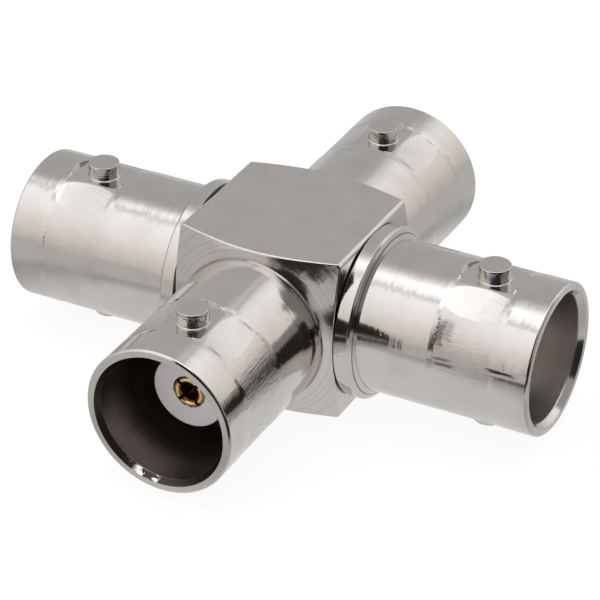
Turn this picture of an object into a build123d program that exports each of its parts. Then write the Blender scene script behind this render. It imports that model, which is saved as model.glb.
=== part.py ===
from build123d import *
import os
from math import radians, tan

# A four-way coaxial cross adapter with four female bayonet ports. A square block is
# turned at its front and back into two ports of its own. Two more ports are turned by
# themselves and pressed into the block's left and right sides. Every port holds an
# insulating tube and a slotted socket contact, and the four contacts meet in a small
# hub in the middle of the block. Millimetres, +Z up, origin where the axes cross.

# Stock: square bar for the block, and round bar of the same size for the side ports
BAR = 11.0
BAR_BEVEL = 0.18

# Turned ends of the block: a cone, a flatter ring inside it, and the barrel's sloped root
FACE = 5.5
CONE_ANGLE = 23.0
RIDGE_STEP = 0.525
RING_ANGLE = 12.0
ROOT_STEP = 0.06
ROOT_LEN = 0.12

# Barrel: depths are measured from its mouth
BARREL_LEN = 11.4
BARREL_D = 9.65
BARREL_WALL = 0.765
BORE_D = BARREL_D - 2 * BARREL_WALL
RIM_BEVEL = 0.12
MOUTH_STEP = 0.27
MOUTH_DEPTH = 0.42
SHOULDER_DEPTH = 8.4

# Collar and spigot of a side port
COLLAR_LEN = 1.05
COLLAR_BEVEL = 0.12
COLLAR_SLOPE = 0.25
SEAM_BEVEL = 0.1
SPIGOT_D = BORE_D + 0.08
SPIGOT_LEN = 1.9

# Bayonet lugs, left standing by a hollow mill that also cleans a band of small flats
LUG_DEPTH = 4.35
LUG_D = 1.95
LUG_SPAN = 11.0
LUG_BEVEL = 0.1
MILL_D = 4.0
POCKET_DEPTH = 0.23
BAND_LEN = 3.7
BAND_DEPTH = 0.035
BAND_FLATS = 48

# Insulating tube, pressed into the port until its nose stands at this depth
TUBE_D = 4.75
TUBE_DEPTH = 3.65
TUBE_END = 4.6

# Socket contact
CONTACT_D = 2.1
CONTACT_PROUD = 0.1
CONTACT_LEN = 6.4
CONTACT_BEVEL = 0.1
PIN_HOLE_D = 1.38
PIN_HOLE_LEN = 5.2
PIN_LEAD = 0.16
SLOT_W = 0.16
SLOT_LEN = 3.6
STEM_D = 1.45
STEM_GAP = 0.9

# Hub that joins the four stems
HUB_W = 3.6
HUB_H = 3.0
HUB_BEVEL = 0.25

# Places along a port's axis, measured from the centre of the block
flat = BAR / 2
collar_end = flat + COLLAR_LEN
block_mouth = FACE + BARREL_LEN
side_mouth = collar_end + BARREL_LEN
spigot_end = flat - SPIGOT_LEN


def turned(*outline):
    """Solid turned about the X axis. The outline's points are (along, diameter)."""
    edges = Polyline(*[(x, 0, d / 2) for x, d in outline], close=True)
    return revolve(make_face(edges.edges()), Axis.X)


def mouth_and_bore(mouth, end):
    """Outline of a barrel from the outer rim, in at the mouth and back to its inner end.
    It is the same in all four ports."""
    shoulder = mouth - SHOULDER_DEPTH
    return [
        (mouth - RIM_BEVEL, BARREL_D),
        (mouth, BARREL_D - 2 * RIM_BEVEL),
        (mouth, BORE_D + 2 * MOUTH_STEP),
        (mouth - MOUTH_DEPTH, BORE_D),
        (shoulder, BORE_D),
        (shoulder, TUBE_D),
        (end, TUBE_D),
    ]


def with_lugs(barrel, mouth):
    """Barrel with its milled band, and two lugs that stand in round pockets."""
    lug_at = mouth - LUG_DEPTH
    band_plane = Plane.YZ.offset(lug_at - BAND_LEN / 2)
    flats = RegularPolygon(
        BARREL_D / 2 - BAND_DEPTH,
        BAND_FLATS,
        major_radius=False,
        rotation=180 / BAND_FLATS,
    )
    barrel -= extrude(band_plane * (Circle(BARREL_D) - flats), BAND_LEN)
    floor = BARREL_D / 2 - POCKET_DEPTH
    tool = Circle(MILL_D / 2) - Circle(LUG_D / 2)
    pocket = extrude(Pos(lug_at, 0, floor) * tool, LUG_SPAN)
    lug_root = floor - BARREL_WALL / 4
    lug = extrude(Pos(lug_at, 0, lug_root) * Circle(LUG_D / 2), LUG_SPAN / 2 - lug_root)
    lug = chamfer(lug.edges().group_by(Axis.Z)[-1], LUG_BEVEL)
    for turn in (0, 180):
        barrel -= pocket.rotate(Axis.X, turn)
        barrel += lug.rotate(Axis.X, turn)
    return barrel


def block_half():
    """Half of the block with one of its own ports, before the side bores."""
    blank_d = 2 * BAR
    ridge_d = BARREL_D + 2 * RIDGE_STEP
    ridge = FACE - (RIDGE_STEP - ROOT_STEP) * tan(radians(RING_ANGLE))
    drop = (blank_d - ridge_d) / 2 * tan(radians(CONE_ANGLE))
    blank = turned(
        (0, blank_d),
        (ridge - drop, blank_d),
        (ridge, ridge_d),
        (FACE, BARREL_D + 2 * ROOT_STEP),
        (FACE + ROOT_LEN, BARREL_D),
        *mouth_and_bore(block_mouth, 0),
    )
    bar = Box(block_mouth, BAR, BAR, align=(Align.MIN, Align.CENTER, Align.CENTER))
    bar = chamfer(bar.edges().filter_by(Axis.X), BAR_BEVEL)
    return with_lugs(blank & bar, block_mouth)


def block():
    """The block and its front and back ports, bored through from side to side."""
    half = block_half()
    body = half.rotate(Axis.Z, -90) + half.rotate(Axis.Z, 90)
    return body - Rot(0, 90, 0) * Cylinder(SPIGOT_D / 2, BAR)


def side_shell():
    """A side port: spigot, collar against the block, and barrel."""
    shell = turned(
        (spigot_end, SPIGOT_D),
        (flat, SPIGOT_D),
        (flat, BAR - 2 * SEAM_BEVEL),
        (flat + SEAM_BEVEL, BAR),
        (collar_end - COLLAR_BEVEL, BAR),
        (collar_end, BAR - 2 * COLLAR_BEVEL),
        (collar_end + COLLAR_SLOPE, BARREL_D),
        *mouth_and_bore(side_mouth, spigot_end),
    )
    return with_lugs(shell, side_mouth)


def contact_shoulder(mouth):
    """Where the contact's step rests inside the insulating tube."""
    return mouth - TUBE_DEPTH + CONTACT_PROUD - CONTACT_LEN


def insulator(mouth):
    """Insulating tube with a stepped bore for the contact."""
    nose = mouth - TUBE_DEPTH
    shoulder = contact_shoulder(mouth)
    return turned(
        (TUBE_END, STEM_D),
        (TUBE_END, TUBE_D),
        (nose, TUBE_D),
        (nose, CONTACT_D),
        (shoulder, CONTACT_D),
        (shoulder, STEM_D),
    )


def contact(mouth):
    """Socket contact: four sprung fingers round the pin hole, and a stem to the hub."""
    tip = mouth - TUBE_DEPTH + CONTACT_PROUD
    shoulder = contact_shoulder(mouth)
    hole_end = tip - PIN_HOLE_LEN
    body = turned(
        (STEM_GAP, 0),
        (STEM_GAP, STEM_D),
        (shoulder, STEM_D),
        (shoulder, CONTACT_D),
        (tip - CONTACT_BEVEL, CONTACT_D),
        (tip, CONTACT_D - 2 * CONTACT_BEVEL),
        (tip, PIN_HOLE_D + 2 * PIN_LEAD),
        (tip - PIN_LEAD, PIN_HOLE_D),
        (hole_end, PIN_HOLE_D),
        (hole_end, 0),
    )
    slot = Pos(tip, 0, 0) * Box(2 * SLOT_LEN, SLOT_W, 2 * CONTACT_D)
    for turn in (45, 135):
        body -= slot.rotate(Axis.X, turn)
    return body


def hub():
    """Small square block, cross-drilled for the four stems."""
    cube = Box(HUB_W, HUB_W, HUB_H)
    cube = chamfer(cube.edges().filter_by(Axis.Z), HUB_BEVEL)
    for across in (Rot(0, 90, 0), Rot(90, 0, 0)):
        cube -= across * Cylinder(STEM_D / 2, HUB_W)
    return cube


nodes = {"body": block(), "centre_hub": hub()}
for name, turn in (("right", 0), ("left", 180)):
    nodes[name + "_shell"] = side_shell().rotate(Axis.Z, turn)
for name, turn, mouth in (
    ("right", 0, side_mouth),
    ("left", 180, side_mouth),
    ("front", -90, block_mouth),
    ("back", 90, block_mouth),
):
    nodes[name + "_insulator"] = insulator(mouth).rotate(Axis.Z, turn)
    nodes[name + "_contact"] = contact(mouth).rotate(Axis.Z, turn)

os.makedirs("parts", exist_ok=True)
for name, shape in nodes.items():
    export_step(shape, "parts/" + name + ".step")
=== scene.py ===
from math import cos, radians, sin

import bmesh
import bpy
import numpy as np
from mathutils import Matrix, Vector


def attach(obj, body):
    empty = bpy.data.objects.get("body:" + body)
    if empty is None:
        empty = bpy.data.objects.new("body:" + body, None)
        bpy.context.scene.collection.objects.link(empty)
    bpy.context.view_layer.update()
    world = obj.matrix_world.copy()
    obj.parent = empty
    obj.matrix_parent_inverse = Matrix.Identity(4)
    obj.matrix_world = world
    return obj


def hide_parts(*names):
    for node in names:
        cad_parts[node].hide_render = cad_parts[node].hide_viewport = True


# Four-way coaxial cross adapter, nickel plated, with four bayonet ports.
# Metres, +Z up, origin where the axes of the ports cross.

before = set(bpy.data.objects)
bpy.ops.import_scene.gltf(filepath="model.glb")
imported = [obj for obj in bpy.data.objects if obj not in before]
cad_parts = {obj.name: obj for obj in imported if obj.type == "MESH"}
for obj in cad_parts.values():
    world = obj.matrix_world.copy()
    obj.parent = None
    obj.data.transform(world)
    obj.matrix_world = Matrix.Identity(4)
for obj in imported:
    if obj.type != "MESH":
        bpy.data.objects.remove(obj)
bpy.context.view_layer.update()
MM = 0.001

# Places along a port's axis, as the frame has them
BLOCK_FLAT = 5.5 * MM
COLLAR_END = 6.55 * MM
BARREL_R = 4.825 * MM
BORE_R = 4.06 * MM
LUG_DEPTH = 4.35 * MM
BAND_HALF = 1.85 * MM
MOUTHS = {
    "right": ((1, 0, 0), 17.95 * MM),
    "left": ((-1, 0, 0), 17.95 * MM),
    "front": ((0, -1, 0), 16.9 * MM),
    "back": ((0, 1, 0), 16.9 * MM),
}


def mouth_along(along_axis):
    """How far from the centre the mouths of the ports along X (0) or Y (1) are."""
    return MOUTHS["front" if along_axis == 1 else "right"][1]


# Node helpers

def place(tree, kind, inputs=None, **settings):
    """Adds a node, sets its own settings, and sets or links its inputs."""
    made = tree.nodes.new(kind)
    for key, value in settings.items():
        setattr(made, key, value)
    for key, value in (inputs or {}).items():
        socket = made.inputs[key]
        if isinstance(value, bpy.types.NodeSocket):
            tree.links.new(value, socket)
        else:
            socket.default_value = value
    return made


def calc(tree, operation, *values, clamp=False):
    """One Math node; gives its output."""
    settings = {"operation": operation, "use_clamp": clamp}
    return place(tree, "ShaderNodeMath", dict(enumerate(values)), **settings).outputs[0]


def ramp_between(tree, value, low, high, to_low=0.0, to_high=1.0, smooth=True):
    """Value carried from to_low at low to to_high at high, smoothly or in a straight line."""
    inputs = {"Value": value, "From Min": low, "From Max": high, "To Min": to_low, "To Max": to_high}
    kind = "SMOOTHSTEP" if smooth else "LINEAR"
    return place(tree, "ShaderNodeMapRange", inputs, interpolation_type=kind).outputs["Result"]


def ramp_degrees(tree, value, limits, to_low=0.0, to_high=1.0):
    """As ramp_between, for an angle and its two limits in degrees."""
    low, high = limits
    return ramp_between(tree, value, radians(low), radians(high), to_low, to_high)


def product(tree, first, *others):
    """Product of several values."""
    for other in others:
        first = calc(tree, "MULTIPLY", first, other)
    return first


def apart(tree, value, other):
    """How far apart two values are."""
    return calc(tree, "ABSOLUTE", calc(tree, "SUBTRACT", value, other))


def replaced(tree, value, mask, new_value):
    """Value, replaced by a new one where the mask is 1."""
    change = calc(tree, "SUBTRACT", new_value, value)
    return calc(tree, "MULTIPLY_ADD", mask, change, value)


def blend_colour(tree, factor, first, second):
    """Colour mixed from first to second by factor."""
    # A Mix node's sockets for colours come after those for numbers and vectors
    inputs = {0: factor, 6: first, 7: second}
    return place(tree, "ShaderNodeMix", inputs, data_type="RGBA").outputs[2]


def new_group(name, inputs, outputs):
    """Empty node group; inputs are (name, kind, default), outputs are (name, kind)."""
    tree = bpy.data.node_groups.new(name, "ShaderNodeTree")
    for label, kind, default in inputs:
        socket = tree.interface.new_socket(label, in_out="INPUT", socket_type="NodeSocket" + kind)
        if default is not None:
            socket.default_value = default
    for label, kind in outputs:
        tree.interface.new_socket(label, in_out="OUTPUT", socket_type="NodeSocket" + kind)
    start = tree.nodes.new("NodeGroupInput")
    end = tree.nodes.new("NodeGroupOutput")
    return tree, start.outputs, end


def use_group(tree, group, inputs):
    """Places a group in a material with its own values; gives its outputs."""
    return place(tree, "ShaderNodeGroup", inputs, node_tree=group).outputs


def new_material(name):
    """Empty material with its shader and its Object coordinates."""
    made = bpy.data.materials.new(name)
    made.use_nodes = True
    tree = made.node_tree
    tree.nodes.clear()
    shader = tree.nodes.new("ShaderNodeBsdfPrincipled")
    out = tree.nodes.new("ShaderNodeOutputMaterial")
    tree.links.new(shader.outputs[0], out.inputs[0])
    spot = place(tree, "ShaderNodeTexCoord").outputs["Object"]
    return made, tree, shader, spot


def dress(piece, material):
    """Gives a piece one material."""
    piece.data.materials.clear()
    piece.data.materials.append(material)


# Camera, fitted to the photograph's outline

VIEW_AZIMUTH = radians(-62.096)
VIEW_ELEVATION = radians(31.604)
VIEW_ROLL = radians(-0.1739)
VIEW_DISTANCE = 172.709 * MM
FOCAL_PIXELS = 2761.01
FRAME_PIXELS = 600
ORIGIN_PIXEL = (293.611, 287.501)
SENSOR_MM = 36.0
SEEN_FROM = 0.01
SEEN_TO = 20.0


def put_camera():
    """Camera that looks at the origin; a small shift puts the origin on its pixel."""
    back = Vector((
        cos(VIEW_ELEVATION) * cos(VIEW_AZIMUTH),
        cos(VIEW_ELEVATION) * sin(VIEW_AZIMUTH),
        sin(VIEW_ELEVATION),
    ))
    right = Vector((0, 0, 1)).cross(back).normalized()
    up = back.cross(right)
    rolled_right = right * cos(VIEW_ROLL) + up * sin(VIEW_ROLL)
    rolled_up = up * cos(VIEW_ROLL) - right * sin(VIEW_ROLL)
    turn = Matrix((rolled_right, rolled_up, back)).transposed().to_4x4()
    lens = bpy.data.cameras.new("camera")
    lens.sensor_width = SENSOR_MM
    lens.lens = FOCAL_PIXELS / FRAME_PIXELS * SENSOR_MM
    lens.shift_x = 0.5 - ORIGIN_PIXEL[0] / FRAME_PIXELS
    lens.shift_y = ORIGIN_PIXEL[1] / FRAME_PIXELS - 0.5
    lens.clip_start = SEEN_FROM
    lens.clip_end = SEEN_TO
    camera = bpy.data.objects.new("camera", lens)
    camera.matrix_world = Matrix.Translation(back * VIEW_DISTANCE) @ turn
    bpy.context.scene.collection.objects.link(camera)
    bpy.context.scene.camera = camera


# Studio

def grid_mesh(name, points):
    """Open sheet of faces over a grid of points with shape (rows, columns, 3)."""
    rows, columns = points.shape[:2]
    corner = np.arange(rows * columns).reshape(rows, columns)
    faces = np.stack(
        [corner[:-1, :-1], corner[:-1, 1:], corner[1:, 1:], corner[1:, :-1]], axis=-1
    ).reshape(-1, 4)
    mesh = bpy.data.meshes.new(name)
    mesh.from_pydata(points.reshape(-1, 3).tolist(), [], faces.tolist())
    return mesh


def studio_object(mesh):
    """Links a mesh as part of the studio, not of the adapter."""
    made = bpy.data.objects.new(mesh.name, mesh)
    bpy.context.scene.collection.objects.link(made)
    return made


# Azimuths of the tent's back, left and open front, in degrees
TENT_BACK = 118.0
TENT_LEFT = TENT_BACK + 90
TENT_FRONT = TENT_BACK + 180

# The floor, its own grey, the light that falls on it, and the share of shadow that is seen.
# A level of 1 is white.
FLOOR_HALF = 2.0
FLOOR_SHADE = 0.9
FLOOR_LIGHT = 0.94
SHADOW_SEEN = 0.13
WHITE = 1.03

# What the metal mirrors of the floor, with painted shade in a ring and painted dark towards
# the front: its levels, and the places where they change
TABLE_NEAR = 0.78
TABLE_RING = 0.5
TABLE_FAR = 0.64
RING_FROM = 16 * MM
RING_MIDDLE = 22.5 * MM
RING_TO = 27 * MM
SHADE_FRONT = (22 * MM, 29 * MM)
SHADE_SIDE = (4 * MM, 12 * MM)
OPENING_LEVEL = 0.03


def spot_along(tree, spot, azimuth):
    """How far a spot lies towards an azimuth, which is in degrees."""
    way = (cos(radians(azimuth)), sin(radians(azimuth)), 0)
    made = place(tree, "ShaderNodeVectorMath", {0: spot, 1: way}, operation="DOT_PRODUCT")
    return made.outputs["Value"]


def put_floor():
    """Flat square under the block, white and with a soft faint shadow. In the metal it shows
    greyer, with painted shade that is deepest in a ring about 22 mm out, and it is painted
    dark towards the front from about 22 mm out, except well to the left."""
    side = np.array([-FLOOR_HALF, FLOOR_HALF])
    across, along = np.meshgrid(side, side)
    level = np.full_like(across, -BLOCK_FLAT)
    floor = studio_object(grid_mesh("floor", np.stack([across, along, level], axis=-1)))
    material = bpy.data.materials.new("floor paper")
    material.use_nodes = True
    tree = material.node_tree
    tree.nodes.clear()
    out = tree.nodes.new("ShaderNodeOutputMaterial")
    spot = place(tree, "ShaderNodeTexCoord").outputs["Object"]
    flat = place(tree, "ShaderNodeVectorMath", {0: spot, 1: (1, 1, 0)}, operation="MULTIPLY")
    length = place(tree, "ShaderNodeVectorMath", {0: flat.outputs[0]}, operation="LENGTH")
    away = length.outputs["Value"]
    # Painted shade: the floor as the metal sees it, darkest in a ring about 22 mm out
    inner = ramp_between(tree, away, RING_FROM, RING_MIDDLE, TABLE_NEAR, TABLE_RING)
    outer = ramp_between(tree, away, RING_MIDDLE, RING_TO, 0, TABLE_FAR - TABLE_RING)
    mirrored = calc(tree, "ADD", inner, outer)
    # Painted dark on the floor towards the front, as the metal sees it
    front_shade = product(
        tree,
        ramp_between(tree, spot_along(tree, spot, TENT_FRONT), *SHADE_FRONT),
        ramp_between(tree, spot_along(tree, spot, TENT_LEFT), *SHADE_SIDE, 1, 0),
    )
    mirrored = replaced(tree, mirrored, front_shade, OPENING_LEVEL)
    rays = place(tree, "ShaderNodeLightPath").outputs
    metal = calc(tree, "MAXIMUM", rays["Is Glossy Ray"], rays["Is Transmission Ray"])
    camera = rays["Is Camera Ray"]
    lit = calc(tree, "SUBTRACT", 1.0, calc(tree, "MAXIMUM", metal, camera))
    shade = calc(tree, "MULTIPLY", lit, FLOOR_SHADE)
    shade = calc(tree, "MULTIPLY_ADD", camera, SHADOW_SEEN, shade)
    paper = place(tree, "ShaderNodeBsdfDiffuse", {"Color": shade})
    added = calc(tree, "MULTIPLY", camera, WHITE - SHADOW_SEEN * FLOOR_LIGHT)
    added = calc(tree, "MULTIPLY_ADD", metal, mirrored, added)
    white = place(tree, "ShaderNodeEmission", {"Strength": added})
    both = place(tree, "ShaderNodeAddShader", {0: paper.outputs[0], 1: white.outputs[0]})
    tree.links.new(both.outputs[0], out.inputs[0])
    dress(floor, material)


# Light of the tent: its level low down and overhead, the share that its top adds and its seam
# takes, and the levels of its grey back, its right side and its opening for the soft light
LIGHT_LOW = 0.76
LIGHT_HIGH = 1.52
TOP_MORE = 0.22
SEAM_DARK = 0.4
BACK_LEVEL = 0.56
SIDE_LEVEL = 0.42
OPENING_SOFT = 0.6

# Where the light changes, from and to, in degrees
TOP_LIFT = (64.0, 70.0)
SEAM_AT = 62.5
SEAM_REACH = (0.0, 3.0)
BACK_LIFT = (60.0, 88.0)
BACK_RIGHT = (-46.0, -14.0)
BACK_LEFT = (40.0, 70.0)
SIDE_TURN = (-80.0, -70.0)
SIDE_LIFT = (52.0, 70.0)

# The same as ratios: height of a direction, and width and height of the open side over depth
PLAIN_HEIGHT = (0.25, 0.8)
OPENING_WIDTH = (0.85, 1.1)
OPENING_HEIGHT = (1.8, 2.5)
OPENING_LEAN = 0.3
LEAST_FRONT = 0.01

WARM = (1.0, 0.965, 0.925, 1)
PLAIN = (0.985, 1.0, 1.03, 1)
COOL = (0.985, 0.99, 1.0, 1)
DARK = (1.0, 0.9, 0.84, 1)
BACKGROUND = (1, 1, 1, 1)


def put_light():
    """Soft light from a white tent. Overhead it is brightest, low down warmer, grey at the
    back and dimmer on the right. Its open side, towards the camera, shows dark in the metal.
    Past the floor's far edge the camera sees the floor's white."""
    world = bpy.data.worlds.new("tent")
    world.use_nodes = True
    tree = world.node_tree
    tree.nodes.clear()
    toward = place(tree, "ShaderNodeTexCoord").outputs["Generated"]
    height = place(tree, "ShaderNodeSeparateXYZ", {0: toward}).outputs["Z"]
    back = spot_along(tree, toward, TENT_BACK)
    left = spot_along(tree, toward, TENT_LEFT)
    side_lift = calc(tree, "ARCTAN2", height, calc(tree, "ABSOLUTE", left))
    back_lift = calc(tree, "ARCTAN2", height, back)
    turn = calc(tree, "ARCTAN2", left, back)
    lift = calc(tree, "ARCSINE", height)

    top = ramp_degrees(tree, side_lift, TOP_LIFT)
    seam = ramp_degrees(
        tree, apart(tree, side_lift, radians(SEAM_AT)), SEAM_REACH, 1 - SEAM_DARK, 1
    )
    level = ramp_between(tree, height, 0, 1, LIGHT_LOW, LIGHT_HIGH, smooth=False)
    level = product(tree, level, calc(tree, "MULTIPLY_ADD", top, TOP_MORE, 1.0), seam)
    colour = blend_colour(tree, ramp_between(tree, height, *PLAIN_HEIGHT), WARM, PLAIN)

    grey_back = product(
        tree,
        ramp_degrees(tree, back_lift, BACK_LIFT, 1, 0),
        ramp_degrees(tree, turn, BACK_RIGHT),
        ramp_degrees(tree, turn, BACK_LEFT, 1, 0),
    )
    level = replaced(tree, level, grey_back, BACK_LEVEL)
    colour = blend_colour(tree, grey_back, colour, COOL)

    right_side = product(
        tree,
        ramp_degrees(tree, turn, SIDE_TURN, 1, 0),
        ramp_degrees(tree, lift, SIDE_LIFT, 1, 0),
    )
    level = replaced(tree, level, right_side, SIDE_LEVEL)

    front = calc(tree, "MAXIMUM", calc(tree, "MULTIPLY", back, -1.0), LEAST_FRONT)
    aside = calc(tree, "DIVIDE", calc(tree, "ABSOLUTE", left), front)
    aside = calc(tree, "MULTIPLY_ADD", height, OPENING_LEAN, aside)
    above = calc(tree, "DIVIDE", height, front)
    opening = product(
        tree,
        ramp_between(tree, aside, *OPENING_WIDTH, 1, 0),
        ramp_between(tree, above, *OPENING_HEIGHT, 1, 0),
    )
    rays = place(tree, "ShaderNodeLightPath").outputs
    dark = ramp_between(
        tree, rays["Is Glossy Ray"], 0, 1, OPENING_SOFT, OPENING_LEVEL, smooth=False
    )
    level = replaced(tree, level, opening, dark)
    colour = blend_colour(tree, opening, colour, DARK)

    camera = rays["Is Camera Ray"]
    level = replaced(tree, level, camera, WHITE)
    colour = blend_colour(tree, camera, colour, BACKGROUND)
    light = place(tree, "ShaderNodeBackground", {"Color": colour, "Strength": level})
    out = tree.nodes.new("ShaderNodeOutputWorld")
    tree.links.new(light.outputs[0], out.inputs[0])
    bpy.context.scene.world = world


# Pieces with rounded edges

# Points and faces that are merged, and the angles from which edges are sharp and rounded
SAME_POINT = 1e-7
FLAT_WITHIN = radians(0.5)
SHARP_FROM = radians(12.5)
ROUND_FROM = radians(28.0)

# The widest rounding, the shares of it that the rims and the common edges get, and how far
# the block's outer edges, the rims and the bores are told apart from what is beside them
WIDEST_ROUND = 0.1 * MM
ROUND_STEPS = 3
RIM_SHARE = 0.5
COMMON_SHARE = 0.31
PAST_BLOCK = 0.05 * MM
UNDER_CORNER = 0.08 * MM
RIM_REACH = 0.5 * MM
INSIDE_BORE = 0.5 * MM

# The slopes at the ends of the milled bands, and the limits within which a point or an edge
# counts as theirs
BAND_EASE = 0.35 * MM
POCKET_R = 2.0 * MM
AT_EDGE = 0.01 * MM
PAST_POCKET = 0.03 * MM
AT_WALL = 0.06 * MM
SQUARE_ROUND = 0.002 * MM


def vectors(items, name):
    """A place or direction of each vertex or face of a mesh, one to a row."""
    values = np.zeros(len(items) * 3)
    items.foreach_get(name, values)
    return values.reshape(-1, 3)


def metal_rounding(points, along_axis):
    """Share of the widest rounding that each edge gets, from the middle of the edge.

    The block's outer edges get all of it, the rims half, the edges deep in the bores none
    and the rest about a third."""
    along = np.abs(points[:, along_axis])
    radius = np.hypot(points[:, 1 - along_axis], points[:, 2])
    share = np.full(len(points), COMMON_SHARE)
    share[along > mouth_along(along_axis) - RIM_REACH] = RIM_SHARE
    share[(along < BLOCK_FLAT + PAST_BLOCK) & (radius > BLOCK_FLAT - UNDER_CORNER)] = 1.0
    share[radius < BORE_R - INSIDE_BORE] = 0.0
    return share


def nose_rounding(points, along_axis):
    """All of the widest rounding round an insulating tube's nose, and none elsewhere."""
    along = np.abs(points[:, along_axis])
    return np.where(along > along.max() - AT_EDGE, 1.0, 0.0)


def edge_turns(mesh):
    """Angle between the two faces at each edge, negative in a hollow."""
    edge_of = np.zeros(len(mesh.loops), dtype=np.int32)
    mesh.loops.foreach_get("edge_index", edge_of)
    corners = np.zeros(len(mesh.polygons), dtype=np.int32)
    mesh.polygons.foreach_get("loop_total", corners)
    normals = vectors(mesh.polygons, "normal")
    centres = vectors(mesh.polygons, "center")
    face_of = np.repeat(np.arange(len(mesh.polygons)), corners)
    first, second = face_of[np.argsort(edge_of, kind="stable")].reshape(-1, 2).T
    between = np.sum(normals[first] * normals[second], axis=1)
    hollow = np.sum(normals[first] * (centres[second] - centres[first]), axis=1) > 0
    turn = np.arccos(np.clip(between, -1, 1))
    return np.where(hollow, -turn, turn)


def ease_band(mesh, along_axis):
    """Turns the shallow steps at the ends of the milled bands into slopes, by carrying their
    upper edges BAND_EASE outwards along the barrel. Where a pocket cuts the step it stays."""
    spots = vectors(mesh.vertices, "co")
    along = spots[:, along_axis]
    across = spots[:, 1 - along_axis]
    past_lug = np.abs(along) - (mouth_along(along_axis) - LUG_DEPTH)
    at_step = (
        (np.abs(np.abs(past_lug) - BAND_HALF) < AT_EDGE)
        & (np.abs(np.hypot(across, spots[:, 2]) - BARREL_R) < AT_EDGE)
        & (np.hypot(past_lug, across) > POCKET_R + PAST_POCKET)
    )
    spots[:, along_axis] += np.where(at_step, np.sign(past_lug * along) * BAND_EASE, 0)
    mesh.vertices.foreach_set("co", spots.ravel())


def band_edges(points, along_axis, length):
    """Which edges, of a given length along the barrel, run round it at the eased steps."""
    along = points[:, along_axis]
    past_lug = np.abs(along) - (mouth_along(along_axis) - LUG_DEPTH)
    off_slope = np.abs(np.abs(past_lug) - BAND_HALF - BAND_EASE / 2)
    radius = np.hypot(points[:, 1 - along_axis], points[:, 2])
    at_wall = np.abs(radius - BARREL_R) < AT_WALL
    return (length < SQUARE_ROUND) & (off_slope < BAND_EASE) & at_wall


def merged_copy(node, along_axis):
    """A CAD node's mesh with its triangles merged, its bands eased and its flat faces
    joined."""
    mesh = bpy.data.meshes.new(node + "_rounded")
    shape = bmesh.new()
    shape.from_mesh(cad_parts[node].data)
    bmesh.ops.remove_doubles(shape, verts=shape.verts, dist=SAME_POINT)
    shape.to_mesh(mesh)
    ease_band(mesh, along_axis)
    shape.clear()
    shape.from_mesh(mesh)
    bmesh.ops.dissolve_limit(
        shape, angle_limit=FLAT_WITHIN, verts=shape.verts, edges=shape.edges
    )
    shape.to_mesh(mesh)
    shape.free()
    return mesh


def rounded_copy(node, along_axis, rounding):
    """Stands for a CAD node: the same shape with its outer edges rounded."""
    mesh = merged_copy(node, along_axis)
    if "custom_normal" in mesh.attributes:
        mesh.attributes.remove(mesh.attributes["custom_normal"])
    mesh.shade_smooth()
    turn = edge_turns(mesh)
    ends = np.zeros(len(mesh.edges) * 2, dtype=np.int32)
    mesh.edges.foreach_get("vertices", ends)
    ends = vectors(mesh.vertices, "co")[ends.reshape(-1, 2)]
    middle = ends.mean(axis=1)
    length = np.abs(ends[:, 0, along_axis] - ends[:, 1, along_axis])
    sharp = (np.abs(turn) > SHARP_FROM) | band_edges(middle, along_axis, length)
    mesh.edges.foreach_set("use_edge_sharp", sharp)
    share = rounding(middle, along_axis) * (turn > ROUND_FROM)
    weight = mesh.attributes.new("bevel_weight_edge", "FLOAT", "EDGE")
    weight.data.foreach_set("value", share.astype(np.float32))
    piece = bpy.data.objects.new(node + "_rounded", mesh)
    bpy.context.scene.collection.objects.link(piece)
    bevel = piece.modifiers.new("rounding", "BEVEL")
    bevel.limit_method = "WEIGHT"
    bevel.width = WIDEST_ROUND
    bevel.segments = ROUND_STEPS
    bevel.use_clamp_overlap = False
    bevel.harden_normals = True
    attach(piece, "root")
    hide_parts(node)
    return piece


# Turned pieces

SMOOTH_UP_TO = radians(40)


def new_piece(name, points, faces, slot):
    """New piece of the adapter: smooth, with its sharp corners kept."""
    mesh = bpy.data.meshes.new(name)
    mesh.from_pydata(points.reshape(-1, 3).tolist(), [], faces)
    mesh.shade_smooth()
    mesh.edges.foreach_set("use_edge_sharp", np.abs(edge_turns(mesh)) > SMOOTH_UP_TO)
    piece = bpy.data.objects.new(name, mesh)
    bpy.context.scene.collection.objects.link(piece)
    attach(piece, "root")
    return piece


def directions(axis):
    """An axis and two directions across it, all of length 1 and at right angles."""
    axis = np.array(axis, dtype=float)
    across = np.array((1.0, 0, 0)) if abs(axis[2]) > 0.5 else np.array((0, 0, 1.0))
    return axis, across, np.cross(axis, across)


def turned_solid(profile, base, axis, steps):
    """Points and faces of a closed solid turned about an axis.

    A profile point (h, r) goes to base + h * axis + r * (cos t * across + sin t * aside),
    with t all the way round. Each end is closed by a point on the axis."""
    axis, across, aside = directions(axis)
    heights, radii = np.array(profile).T
    turn = np.linspace(0, 2 * np.pi, steps, endpoint=False)
    ring = np.cos(turn)[:, None] * across + np.sin(turn)[:, None] * aside
    centres = np.array(base) + heights[:, None] * axis
    points = centres[:, None] + radii[:, None, None] * ring
    count = len(heights) * steps
    grid = np.arange(count).reshape(-1, steps)
    grid = np.concatenate([grid, grid[:, :1]], axis=1)
    quads = np.stack([grid[:-1, :-1], grid[:-1, 1:], grid[1:, 1:], grid[1:, :-1]], axis=-1)
    low = np.stack([np.full(steps, count), grid[0, 1:], grid[0, :-1]], axis=-1)
    high = np.stack([np.full(steps, count + 1), grid[-1, :-1], grid[-1, 1:]], axis=-1)
    points = np.concatenate([points.reshape(-1, 3), centres[[0, -1]]])
    return points, quads.reshape(-1, 4).tolist() + low.tolist() + high.tolist()


def joined(*solids):
    """Several (points, faces) as one."""
    points = []
    faces = []
    start = 0
    for some_points, some_faces in solids:
        points.append(some_points)
        faces += [[corner + start for corner in face] for face in some_faces]
        start += len(some_points)
    return np.concatenate(points), faces


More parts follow.
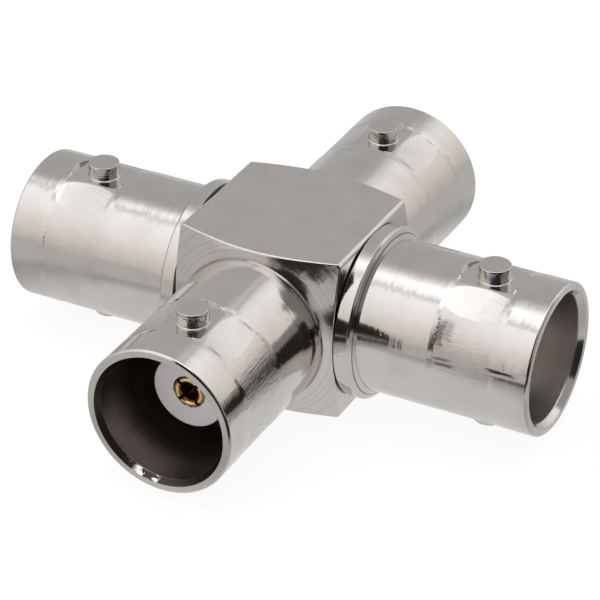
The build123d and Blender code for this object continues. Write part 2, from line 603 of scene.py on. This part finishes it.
# Skins of the lugs, a little outside the CAD ones that they cover: radius, fillet, edge and
# grooves, and the heights above the port's axis of foot, top and the pocket's floor
LUG_R = 0.99 * MM
LUG_FOOT = 4.5 * MM
LUG_TOP = 5.503 * MM
LUG_FILLET = 0.1 * MM
LUG_EDGE = 0.06 * MM
LUG_STEPS = 40
QUARTER_STEPS = 7
POCKET_FLOOR = 4.595 * MM
GROOVES = 4
GROOVES_FROM = 0.14 * MM
GROOVE_PITCH = 0.135 * MM
GROOVE_STEPS = 8
FRONT_GROOVE = 0.03 * MM
OTHER_GROOVE = 0.002 * MM


def lug_profile(groove):
    """Side of a lug: a hollow fillet at its foot, rings r = R + g * cos(2 pi h / pitch) - g
    up to the cap, and a cap with a rounded edge."""
    quarter = np.linspace(0, np.pi / 2, QUARTER_STEPS)
    foot = np.array([[LUG_FOOT, LUG_R + LUG_FILLET]])
    fillet = np.column_stack((
        POCKET_FLOOR + LUG_FILLET * (1 - np.cos(quarter)),
        LUG_R + LUG_FILLET * (1 - np.sin(quarter)),
    ))
    height = np.linspace(0, GROOVES * GROOVE_PITCH, GROOVES * GROOVE_STEPS + 1)
    rings = np.column_stack((
        POCKET_FLOOR + GROOVES_FROM + height,
        LUG_R + groove * (np.cos(2 * np.pi * height / GROOVE_PITCH) - 1),
    ))
    cap = np.column_stack((
        LUG_TOP - LUG_EDGE + LUG_EDGE * np.sin(quarter),
        LUG_R - LUG_EDGE + LUG_EDGE * np.cos(quarter),
    ))
    return np.concatenate([foot, fillet, rings, cap])


def make_lugs(port, groove):
    """Skins of a port's two bayonet lugs."""
    way, mouth = MOUTHS[port]
    at = np.array(way) * (mouth - LUG_DEPTH)
    upper = turned_solid(lug_profile(groove), at, (0, 0, 1), LUG_STEPS)
    lower = turned_solid(lug_profile(groove), at, (0, 0, -1), LUG_STEPS)
    return new_piece(port + "_lugs", *joined(upper, lower), "nickel_plate")


# Socket contact: depths behind the mouth, radii, and the outline of a finger in millimetres,
# as (behind the tip, radius)
CONTACT_TIP = 3.55 * MM
CONTACT_BACK = 9.95 * MM
CONTACT_STEPS = 48
CONTACT_R = 1.04 * MM
STEM_R = 0.725 * MM
STEM_GAP = 0.9 * MM
HOLE_R = 0.69 * MM
HOLE_BACK = 8.75 * MM
SLOT_HALF = 0.12 * MM
FINGERS = 4
FINGER_BACK = 3.75 * MM
FINGER_LAP = 0.1 * MM
FINGER_STEPS = 13
FINGER_OUTLINE = np.array([
    (3.75, 1.04), (2.2, 1.04), (0.9, 1.04), (0.36, 1.03), (0.17, 1.01), (0.05, 0.95), (0.0, 0.85),
    (0.02, 0.72), (0.1, 0.63), (0.26, 0.58), (0.6, 0.58), (1.0, 0.64), (1.4, 0.69), (3.75, 0.69),
]) * MM


def make_contact(port):
    """Socket contact with sprung fingers that close in at the tip.

    Each finger carries a closed outline (s behind the tip, r) round the axis, from one slot
    to the next: t = middle + v * (pi / fingers - asin(half slot / r)), with v from -1 to 1."""
    way, mouth = MOUTHS[port]
    axis, across, aside = directions(way)
    behind, radius = FINGER_OUTLINE.T
    reach = np.pi / FINGERS - np.arcsin(SLOT_HALF / radius)
    part = np.linspace(-1, 1, FINGER_STEPS)
    rows = len(radius)
    grid = np.arange(rows * len(part)).reshape(rows, len(part))
    wrapped = np.concatenate([grid, grid[:1]])
    quads = np.stack(
        [wrapped[:-1, :-1], wrapped[1:, :-1], wrapped[1:, 1:], wrapped[:-1, 1:]], axis=-1
    )
    sides = [grid[::-1, 0].tolist(), grid[:, -1].tolist()]
    fingers = []
    for number in range(FINGERS):
        turn = number * 2 * np.pi / FINGERS + reach[:, None] * part
        ring = np.cos(turn)[..., None] * across + np.sin(turn)[..., None] * aside
        centres = (mouth - CONTACT_TIP - behind)[:, None] * axis
        points = centres[:, None] + radius[:, None, None] * ring
        fingers.append((points.reshape(-1, 3), quads.reshape(-1, 4).tolist() + sides))
    finger_root = mouth - CONTACT_TIP - FINGER_BACK + FINGER_LAP
    profile = [
        (STEM_GAP, STEM_R),
        (mouth - CONTACT_BACK, STEM_R),
        (mouth - CONTACT_BACK, CONTACT_R),
        (finger_root, CONTACT_R),
        (finger_root, HOLE_R),
        (mouth - HOLE_BACK, HOLE_R),
    ]
    body = turned_solid(profile, (0, 0, 0), way, CONTACT_STEPS)
    piece = new_piece(port + "_socket", *joined(body, *fingers), "gold_plate")
    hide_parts(port + "_contact")
    return piece


# Groups placed in the finishes

# Lathe rings: their scales per metre, their heights in millimetres, how much deeper they are
# in cloudy patches, and how much of them is left on the block's cones
FINE_RINGS = 9000.0
FINE_RING_HEIGHT = 0.0015
BROAD_RINGS = 2600.0
BROAD_RING_HEIGHT = 0.0065
RING_PATCHES = (0.35, 0.65)
RING_DEPTHS = (0.45, 1.5)
CONE_RINGS = 0.8
CONE_FROM = (BARREL_R + 0.2 * MM, BARREL_R + 0.6 * MM)

# Pits and clouds of handling: scales per metre, finer for the pits on the lugs, the share of
# the cells that have a pit, and a pit's reach in its cell and height in millimetres
PIT_SCALE = 2400.0
LUG_PIT_SCALE = 3600.0
PIT_SHARE = 0.06
PIT_REACH = 0.26
PIT_HEIGHT = -0.009
CLOUD_SCALE = 520.0


def noise(tree, inputs, dimensions="3D"):
    """Noise between 0 and 1."""
    return place(tree, "ShaderNodeTexNoise", inputs, noise_dimensions=dimensions).outputs["Fac"]


def noise_along(tree, value, scale, detail=2.0):
    """Noise between 0 and 1 that changes along one value only."""
    inputs = {"W": calc(tree, "MULTIPLY", value, scale), "Scale": 1.0, "Detail": detail}
    return noise(tree, inputs, "1D")


def flat_place(tree, first, second):
    """Two values as a place for a flat noise."""
    return place(tree, "ShaderNodeCombineXYZ", {0: first, 1: second}).outputs[0]


def make_turning_lines():
    """Rings left by a lathe, as a height in millimetres: noise over the place along the axis
    and the radius, the same all the way round. They are deeper in patches, and a little
    calmer on the block's cones."""
    tree, given, end = new_group(
        "turning lines",
        [("Along", "Float", 0.0), ("Radius", "Float", 0.0), ("Patches", "Float", 0.5)],
        [("Height", "Float")],
    )
    where = flat_place(tree, given["Along"], given["Radius"])
    fine = noise(tree, {"Vector": where, "Scale": FINE_RINGS, "Detail": 2.0}, "2D")
    broad = noise(tree, {"Vector": where, "Scale": BROAD_RINGS, "Detail": 2.0}, "2D")
    height = calc(tree, "MULTIPLY", fine, FINE_RING_HEIGHT)
    height = calc(tree, "MULTIPLY_ADD", broad, BROAD_RING_HEIGHT, height)
    depth = ramp_between(tree, given["Patches"], *RING_PATCHES, *RING_DEPTHS)
    calm = ramp_between(tree, given["Radius"], *CONE_FROM, 1, CONE_RINGS)
    height = calc(tree, "MULTIPLY", height, calc(tree, "MULTIPLY", depth, calm))
    tree.links.new(height, end.inputs["Height"])
    return tree


def make_specks():
    """Small scattered pits, as a mask and as a height in millimetres, and the cloudy marks
    of handling."""
    tree, given, end = new_group(
        "specks",
        [("Vector", "Vector", None), ("Scale", "Float", PIT_SCALE), ("Share", "Float", PIT_SHARE)],
        [("Pits", "Float"), ("Height", "Float"), ("Clouds", "Float")],
    )
    cells = place(
        tree, "ShaderNodeTexVoronoi", {"Vector": given["Vector"], "Scale": given["Scale"]}
    ).outputs
    chance = place(tree, "ShaderNodeSeparateColor", {0: cells["Color"]}).outputs[0]
    chosen = calc(tree, "LESS_THAN", chance, given["Share"])
    core = ramp_between(tree, cells["Distance"], 0.0, PIT_REACH, 1, 0)
    core = calc(tree, "MULTIPLY", core, chosen)
    clouds = noise(tree, {"Vector": given["Vector"], "Scale": CLOUD_SCALE, "Detail": 5.0})
    tree.links.new(core, end.inputs["Pits"])
    tree.links.new(calc(tree, "MULTIPLY", core, PIT_HEIGHT), end.inputs["Height"])
    tree.links.new(clouds, end.inputs["Clouds"])
    return tree


# Milled band: its ragged ends, the strokes along it, and the broad flats beside the lugs,
# with their depths in millimetres
RAGGED_SCALE = 20.0
RAGGED_REACH = 0.35 * MM
BAND_END = (BAND_HALF + 0.11 * MM, BAND_HALF + 0.23 * MM)
BAND_WALL = (0.08 * MM, 0.14 * MM)
STROKE_SCALE = 36.0
STROKE_STRETCH = 20.0
LUG_ANGLE = radians(90)
FLAT_FROM_LUG = radians(31)
FLAT_CUT = 0.13
FLAT_DISH = 0.08
FLAT_SHARE = 0.85
FLAT_END = (BAND_HALF - 0.25 * MM, BAND_HALF + 0.05 * MM)


def make_milled_band():
    """Band round the lugs, cleaned by strokes along the axis: a mask with ragged ends, and a
    height in millimetres with the strokes and one broad flat on each side of each lug.

    The flats are min(across^2 / 2R + dish, cut) - cut, times their share, where the dish
    rises with the square of the distance along the port to FLAT_DISH at their ends."""
    tree, given, end = new_group(
        "milled band",
        [
            ("Behind", "Float", 0.0),
            ("Angle", "Float", 0.0),
            ("Radius", "Float", 0.0),
            ("Depth", "Float", 0.02),
        ],
        [("Mask", "Float"), ("Height", "Float")],
    )
    off_lug = apart(tree, given["Behind"], LUG_DEPTH)
    off_wall = apart(tree, given["Radius"], BARREL_R)
    wall = ramp_between(tree, off_wall, *BAND_WALL, 1, 0)
    ragged = noise_along(tree, given["Angle"], RAGGED_SCALE)
    ragged = calc(tree, "MULTIPLY_ADD", ragged, RAGGED_REACH, off_lug)
    mask = calc(tree, "MULTIPLY", ramp_between(tree, ragged, *BAND_END, 1, 0), wall)

    where = flat_place(
        tree, given["Angle"], calc(tree, "MULTIPLY", given["Behind"], STROKE_STRETCH)
    )
    strokes = noise(
        tree, {"Vector": where, "Scale": STROKE_SCALE, "Detail": 4.0, "Roughness": 0.6}, "2D"
    )
    strokes = calc(tree, "MULTIPLY", calc(tree, "SUBTRACT", strokes, 0.5), given["Depth"])
    round_axis = apart(tree, calc(tree, "ABSOLUTE", given["Angle"]), LUG_ANGLE)
    across = calc(
        tree, "MULTIPLY", calc(tree, "SUBTRACT", round_axis, FLAT_FROM_LUG), BARREL_R / MM
    )
    dish = calc(tree, "DIVIDE", off_lug, BAND_HALF)
    dish = product(tree, dish, dish, FLAT_DISH)
    level = calc(tree, "MULTIPLY", across, across)
    level = calc(tree, "MULTIPLY_ADD", level, 0.5 * MM / BARREL_R, dish)
    level = calc(tree, "SUBTRACT", calc(tree, "MINIMUM", level, FLAT_CUT), FLAT_CUT)
    height = calc(tree, "MULTIPLY_ADD", level, FLAT_SHARE, strokes)
    height = product(tree, height, ramp_between(tree, off_lug, *FLAT_END, 1, 0), wall)
    tree.links.new(mask, end.inputs["Mask"])
    tree.links.new(height, end.inputs["Height"])
    return tree


# Painted dark reflections on the right port's front: angle round the axis and its reach in
# degrees, place behind the mouth and its reach in millimetres, and strength
PAINTED_REFLECTIONS = (
    (149.0, 12.5, 6.02, 0.4, 0.75),
    (146.0, 10.0, 5.65, 0.6, 0.4),
    (167.2, 1.5, 5.6, 0.75, 0.6),
    (171.0, 1.9, 5.5, 0.85, 0.75),
    (165.4, 1.9, 1.75, 1.15, 1.0),
    (169.4, 1.0, 1.95, 0.9, 0.35),
)
REFLECTION_ROUND = 4.0
REFLECTION_ALONG = 70.0
REFLECTION_SCALE = 14.0
REFLECTION_MIDDLE = 0.55
REFLECTION_LIMITS = (0.52, 0.86)
REFLECTING_WALL = BARREL_R - 0.1 * MM


def make_painted_reflections():
    """Painted dark reflections, broken up: noise that is drawn out round the axis, cut off at
    a level that is lowest in the middle of each mark."""
    tree, given, end = new_group(
        "painted_reflections", [("Behind", "Float", 0.0), ("Angle", "Float", 0.0)], [("Mask", "Float")]
    )
    where = flat_place(
        tree,
        calc(tree, "MULTIPLY", given["Angle"], REFLECTION_ROUND),
        calc(tree, "MULTIPLY", given["Behind"], REFLECTION_ALONG),
    )
    broken = noise(
        tree, {"Vector": where, "Scale": REFLECTION_SCALE, "Detail": 5.0, "Roughness": 0.65}, "2D"
    )
    total = 0.0
    for angle, angle_reach, behind, reach, strength in PAINTED_REFLECTIONS:
        round_axis = apart(tree, given["Angle"], radians(angle))
        round_axis = calc(tree, "DIVIDE", round_axis, radians(angle_reach))
        along = calc(tree, "DIVIDE", apart(tree, given["Behind"], behind * MM), reach * MM)
        near = calc(tree, "SUBTRACT", 1.0, calc(tree, "MAXIMUM", round_axis, along))
        near = calc(tree, "MULTIPLY_ADD", near, REFLECTION_MIDDLE, broken)
        mark = product(
            tree,
            ramp_between(tree, near, *REFLECTION_LIMITS, 0, strength),
            calc(tree, "LESS_THAN", round_axis, 1.0),
            calc(tree, "LESS_THAN", along, 1.0),
        )
        total = calc(tree, "MAXIMUM", total, mark)
    tree.links.new(total, end.inputs["Mask"])
    return tree


turning_lines = make_turning_lines()
painted_reflections = make_painted_reflections()
specks = make_specks()
milled_band = make_milled_band()


# Finishes

NICKEL = (0.63, 0.604, 0.572, 1)
NICKEL_DULL = (0.57, 0.54, 0.505, 1)
# Near black, for painted shade and painted dark reflections
PAINTED_DARK = (0.06, 0.052, 0.048, 1)
STAIN = (0.5, 0.43, 0.39, 1)
INSULATION = ((0.9, 0.9, 0.915, 1), (0.83, 0.83, 0.85, 1))
GOLD = ((1.0, 0.72, 0.38, 1), (0.9, 0.54, 0.23, 1))
BRASS = ((0.80, 0.62, 0.32, 1), (0.66, 0.47, 0.22, 1))

# Looks of the bores: the dark and light of their grooves, the colour of the bevel at the
# mouth, and how far from the bore the bevel takes that colour. The block's bevel is painted
# near black, as shade; the side ports' bores and bevels are painted lighter, as light.
BLOCK_BORE = {
    "dark": (0.26, 0.218, 0.197, 1),
    "light": (0.4, 0.345, 0.312, 1),
    "bevel": (0.06, 0.05, 0.045, 1),
    "painted_shade_to": 0.25 * MM,
}
PORT_BORE = {
    "dark": (0.62, 0.575, 0.54, 1),
    "light": (0.7, 0.655, 0.615, 1),
    "bevel": (0.6, 0.565, 0.53, 1),
    "painted_shade_to": 0.01 * MM,
}
BORE_SOFT = 0.04 * MM
BORE_GROOVES = 9000.0
GROOVE_LIMITS = (0.3, 0.7)
BEVEL_FROM = (BORE_R + 0.01 * MM, BORE_R + 0.03 * MM)

# Places low on the bevel's left where its painted shade is left off. Angles in degrees.
UNSHADED_AT = -108.0
UNSHADED_REACH = (8.0, 24.0)
UNSHADED_MORE = 0.13
UNSHADED_SCALE = 2300.0
UNSHADED_LIMITS = (0.61, 0.69)

# Painted shade in dark lines: in the seam against the block, at the foot of the collar's
# slope, and at the root of the block's own ports
SEAM_OUT = BLOCK_FLAT + 0.045 * MM
SEAM_WIDTH = (0.03 * MM, 0.07 * MM)
FOOT_R = BARREL_R + 0.3 * MM
FOOT_WIDTH = (0.02 * MM, 0.06 * MM)
FOOT_OUT = COLLAR_END + 0.13 * MM
FOOT_REACH = 0.11 * MM
FOOT_DARK = 0.75
ROOT_OUT = BLOCK_FLAT + 0.06 * MM
ROOT_WIDTH = (0.05 * MM, 0.08 * MM)
ROOT_R = BARREL_R + 0.03 * MM
ROOT_REACH = 0.07 * MM
ROOT_DARK = 0.5

# Dullness of the nickel: its clouds, pits, the grain on the block's flats, and the stained
# turning arcs on its cones
DULL_CLOUDS = (0.35, 0.75)
CLOUD_DULL = 0.7
PIT_DULL = 0.5
GRAIN_SCALE = 9000.0
GRAIN_MIDDLE = 0.4
GRAIN_DULL = 1.6
ON_FLAT = BLOCK_FLAT - 0.02 * MM
ON_CONE = BLOCK_FLAT - 0.12 * MM
CONE_R = BARREL_R + 0.1 * MM
ARC_SCALE = 3200.0
ARC_LIMITS = (0.42, 0.62)
ARC_STAIN = 0.42

# Roughness as (least, what the clouds add), and what the nickel's bands, bores and flats add
NICKEL_ROUGH = (0.055, 0.12)
LUG_ROUGH = (0.06, 0.14)
INSULATION_ROUGH = (0.4, 0.15)
GOLD_ROUGH = (0.14, 0.12)
BRASS_ROUGH = (0.25, 0.2)
BAND_ROUGH = 0.05
BORE_ROUGH = 0.24
FLAT_ROUGH = 0.17

# Heights in millimetres
BLOCK_STROKES = 0.02
PORT_STROKES = 0.013
NICKEL_CLOUDS = 0.006
LUG_CLOUDS = 0.015
INSULATION_CLOUDS = 0.01
GOLD_CLOUDS = 0.02
GRAIN_HEIGHT = 0.012
BORE_HEIGHT = 0.006

# Where the painted shade on the insulation ends and it turns white, past the edge of its hole
HOLE_EDGE = (CONTACT_R + 0.012 * MM, CONTACT_R + 0.02 * MM)


def axis_parts(tree, spot, axis):
    """Place along a port's axis, angle round it and distance from it."""
    x, y, z = place(tree, "ShaderNodeSeparateXYZ", {0: spot}).outputs
    along, across = (x, y) if axis == "X" else (y, x)
    squares = calc(tree, "MULTIPLY", across, across)
    squares = calc(tree, "MULTIPLY_ADD", z, z, squares)
    return along, calc(tree, "ARCTAN2", z, across), calc(tree, "SQRT", squares)


def clouded(tree, clouds, least, more):
    """A value that rises with the clouds of handling."""
    return calc(tree, "MULTIPLY_ADD", clouds, more, least)


def finish(tree, shader, colour, rough, height=None):
    """Gives a shader its colour, its roughness and, as bump, its height in millimetres."""
    tree.links.new(colour, shader.inputs["Base Color"])
    tree.links.new(rough, shader.inputs["Roughness"])
    if height is None:
        return
    bump = place(tree, "ShaderNodeBump", {"Strength": 1.0, "Distance": MM, "Height": height})
    tree.links.new(bump.outputs[0], shader.inputs["Normal"])


def unshaded_places(tree, spot, angle, on_bevel):
    """Places on the bevel, near the bottom, where its painted shade is left off and it shows bright.
    """
    low_left = apart(tree, angle, radians(UNSHADED_AT))
    low_left = ramp_degrees(tree, low_left, UNSHADED_REACH, UNSHADED_MORE, 0)
    unshaded = noise(tree, {"Vector": spot, "Scale": UNSHADED_SCALE, "Detail": 3.0})
    unshaded = ramp_between(tree, calc(tree, "ADD", unshaded, low_left), *UNSHADED_LIMITS)
    return product(tree, unshaded, calc(tree, "GREATER_THAN", low_left, 0.0), on_bevel)


def side_port_seams(tree, out_to, radius):
    """Painted shade: a dark line where a side port is pressed against the block, and a fainter
    one at the foot of its collar."""
    seam = ramp_between(tree, apart(tree, out_to, SEAM_OUT), *SEAM_WIDTH, 1, 0)
    foot = ramp_between(tree, apart(tree, radius, FOOT_R), *FOOT_WIDTH, FOOT_DARK, 0)
    at_foot = calc(tree, "LESS_THAN", apart(tree, out_to, FOOT_OUT), FOOT_REACH)
    return calc(tree, "MAXIMUM", seam, calc(tree, "MULTIPLY", foot, at_foot))


def own_port_seam(tree, out_to, radius):
    """Painted shade: a faint dark line at the root of the block's own ports."""
    root = ramp_between(tree, apart(tree, out_to, ROOT_OUT), *ROOT_WIDTH, ROOT_DARK, 0)
    at_root = calc(tree, "LESS_THAN", apart(tree, radius, ROOT_R), ROOT_REACH)
    return calc(tree, "MULTIPLY", root, at_root)


def cone_stains(tree, lift, radius):
    """Stained turning arcs on the block's cones: noise along the radius."""
    arcs = noise_along(tree, radius, ARC_SCALE, detail=4.0)
    return product(
        tree,
        calc(tree, "LESS_THAN", lift, ON_CONE),
        calc(tree, "GREATER_THAN", radius, CONE_R),
        ramp_between(tree, arcs, *ARC_LIMITS, 0.0, ARC_STAIN),
    )


def right_port_painted_reflections(tree, along, behind, angle, radius):
    """The painted dark reflections, on the outer wall of the right port alone."""
    return product(
        tree,
        use_group(tree, painted_reflections, {"Behind": behind, "Angle": angle})["Mask"],
        calc(tree, "GREATER_THAN", along, 0.0),
        calc(tree, "GREATER_THAN", radius, REFLECTING_WALL),
    )


def make_nickel(name, axis, mouth, inside, stroke_depth):
    """Bright nickel over turned brass for the ports along one axis: lathe rings, milled
    strokes round the lugs, stroke_depth millimetres deep, pits, and inside a dull brown bore
    that the plating hardly reached. In the side ports the bore is painted lighter, as light;
    on the block the bevel at the mouth is painted near black, as shade. Painted shade lies in
    the seams, and painted dark reflections on the right port. The block's own ports lie
    along Y, and their finish also covers the block."""
    made, tree, shader, spot = new_material(name)
    shader.inputs["Metallic"].default_value = 1
    along, angle, radius = axis_parts(tree, spot, axis)
    out_to = calc(tree, "ABSOLUTE", along)
    behind = calc(tree, "SUBTRACT", mouth, out_to)
    z = place(tree, "ShaderNodeSeparateXYZ", {0: spot}).outputs["Z"]
    lift = calc(tree, "ABSOLUTE", z)
    on_flat = calc(tree, "GREATER_THAN", lift, ON_FLAT)
    marks = use_group(tree, specks, {"Vector": spot})
    clouds = marks["Clouds"]
    places = {"Along": along, "Radius": radius, "Patches": clouds}
    lines = use_group(tree, turning_lines, places)["Height"]
    places = {"Behind": behind, "Angle": angle, "Radius": radius, "Depth": stroke_depth}
    band = use_group(tree, milled_band, places)

    # Inside of the bore, with the painted shade on the bevel as far as it reaches
    on_bevel = ramp_between(tree, radius, *BEVEL_FROM)
    past_painted_shade = calc(tree, "SUBTRACT", radius, BORE_R + inside["painted_shade_to"])
    bore = ramp_between(tree, past_painted_shade, 0, BORE_SOFT, 1, 0)
    unshaded = unshaded_places(tree, spot, angle, on_bevel)
    bore = calc(tree, "MULTIPLY", bore, calc(tree, "SUBTRACT", 1.0, unshaded))
    grooves = noise_along(tree, behind, BORE_GROOVES, detail=3.0)
    brown = ramp_between(tree, grooves, *GROOVE_LIMITS)
    brown = blend_colour(tree, brown, inside["dark"], inside["light"])
    brown = blend_colour(tree, on_bevel, brown, inside["bevel"])

    # Colour
    grain = noise(tree, {"Vector": spot, "Scale": GRAIN_SCALE, "Detail": 2.0})
    grain = calc(tree, "MULTIPLY", calc(tree, "SUBTRACT", grain, GRAIN_MIDDLE), on_flat)
    dull = calc(tree, "MULTIPLY", ramp_between(tree, clouds, *DULL_CLOUDS), CLOUD_DULL)
    dull = calc(tree, "MULTIPLY_ADD", marks["Pits"], PIT_DULL, dull)
    dull = calc(tree, "MULTIPLY_ADD", grain, GRAIN_DULL, dull, clamp=True)
    colour = blend_colour(tree, dull, NICKEL, NICKEL_DULL)
    # Painted shade in the seams, and on the right port painted dark reflections, near black
    if axis == "X":
        painted_dark_mask = side_port_seams(tree, out_to, radius)
        reflection_mask = right_port_painted_reflections(tree, along, behind, angle, radius)
        painted_dark_mask = calc(tree, "MAXIMUM", painted_dark_mask, reflection_mask)
    else:
        painted_dark_mask = own_port_seam(tree, out_to, radius)
        colour = blend_colour(tree, cone_stains(tree, lift, radius), colour, STAIN)
    colour = blend_colour(tree, bore, colour, brown)
    colour = blend_colour(tree, painted_dark_mask, colour, PAINTED_DARK)

    # Roughness
    rough = clouded(tree, clouds, *NICKEL_ROUGH)
    rough = calc(tree, "MULTIPLY_ADD", band["Mask"], BAND_ROUGH, rough)
    rough = calc(tree, "MULTIPLY_ADD", bore, BORE_ROUGH, rough)
    rough = calc(tree, "MULTIPLY_ADD", on_flat, FLAT_ROUGH, rough)

    # Height
    off_band = calc(tree, "SUBTRACT", 1.0, band["Mask"])
    height = calc(tree, "MULTIPLY_ADD", lines, off_band, band["Height"])
    height = calc(tree, "ADD", height, marks["Height"])
    height = calc(tree, "MULTIPLY_ADD", clouds, NICKEL_CLOUDS, height)
    height = calc(tree, "MULTIPLY_ADD", grain, GRAIN_HEIGHT, height)
    in_bore = calc(tree, "MULTIPLY", bore, grooves)
    height = calc(tree, "MULTIPLY_ADD", in_bore, BORE_HEIGHT, height)
    finish(tree, shader, colour, rough, height)
    return made


def make_lug_nickel():
    """Bright nickel of the lugs, with pits and cloudy wear."""
    made, tree, shader, spot = new_material("nickel lug")
    shader.inputs["Metallic"].default_value = 1
    marks = use_group(tree, specks, {"Vector": spot, "Scale": LUG_PIT_SCALE})
    clouds = marks["Clouds"]
    colour = blend_colour(tree, clouds, NICKEL, NICKEL_DULL)
    rough = clouded(tree, clouds, *LUG_ROUGH)
    height = calc(tree, "MULTIPLY_ADD", clouds, LUG_CLOUDS, marks["Height"])
    finish(tree, shader, colour, rough, height)
    return made


def make_insulation():
    """White fluoropolymer, turned, slightly waxy. The wall of the hole that holds the contact
    is dark, because hardly any light comes in past the contact."""
    made, tree, shader, spot = new_material("white insulation")
    clouds = use_group(tree, specks, {"Vector": spot})["Clouds"]
    colour = blend_colour(tree, clouds, *INSULATION)
    _, _, from_x = axis_parts(tree, spot, "X")
    _, _, from_y = axis_parts(tree, spot, "Y")
    off_axis = calc(tree, "MINIMUM", from_x, from_y)
    # Painted shade, near black, on the wall of the contact's hole
    colour = blend_colour(tree, ramp_between(tree, off_axis, *HOLE_EDGE, 1, 0), colour, PAINTED_DARK)
    rough = clouded(tree, clouds, *INSULATION_ROUGH)
    finish(tree, shader, colour, rough, calc(tree, "MULTIPLY", clouds, INSULATION_CLOUDS))
    return made


def make_gold():
    """Gold plating over turned brass."""
    made, tree, shader, spot = new_material("gold plate")
    shader.inputs["Metallic"].default_value = 1
    clouds = use_group(tree, specks, {"Vector": spot})["Clouds"]
    colour = blend_colour(tree, clouds, *GOLD)
    rough = clouded(tree, clouds, *GOLD_ROUGH)
    finish(tree, shader, colour, rough, calc(tree, "MULTIPLY", clouds, GOLD_CLOUDS))
    return made


def make_brass():
    """Bare brass of the hub, satin."""
    made, tree, shader, spot = new_material("bare brass")
    shader.inputs["Metallic"].default_value = 1
    clouds = use_group(tree, specks, {"Vector": spot})["Clouds"]
    colour = blend_colour(tree, clouds, *BRASS)
    finish(tree, shader, colour, clouded(tree, clouds, *BRASS_ROUGH))
    return made


nickel_block = make_nickel("nickel block", "Y", mouth_along(1), BLOCK_BORE, BLOCK_STROKES)
nickel_port = make_nickel("nickel port", "X", mouth_along(0), PORT_BORE, PORT_STROKES)
nickel_lug = make_lug_nickel()
insulation = make_insulation()
gold = make_gold()
brass = make_brass()


# The adapter's pieces

for node, along_axis, nickel in (
    ("body", 1, nickel_block),
    ("right_shell", 0, nickel_port),
    ("left_shell", 0, nickel_port),
):
    piece = rounded_copy(node, along_axis, metal_rounding)
    dress(piece, nickel)
for port, (way, _) in MOUTHS.items():
    tube = rounded_copy(port + "_insulator", 0 if way[0] else 1, nose_rounding)
    dress(tube, insulation)
    dress(make_contact(port), gold)
    lugs = make_lugs(port, FRONT_GROOVE if port == "front" else OTHER_GROOVE)
    dress(lugs, nickel_lug)
dress(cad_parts["centre_hub"], brass)

put_camera()
put_floor()
put_light()
bpy.context.scene.view_settings.view_transform = "Standard"
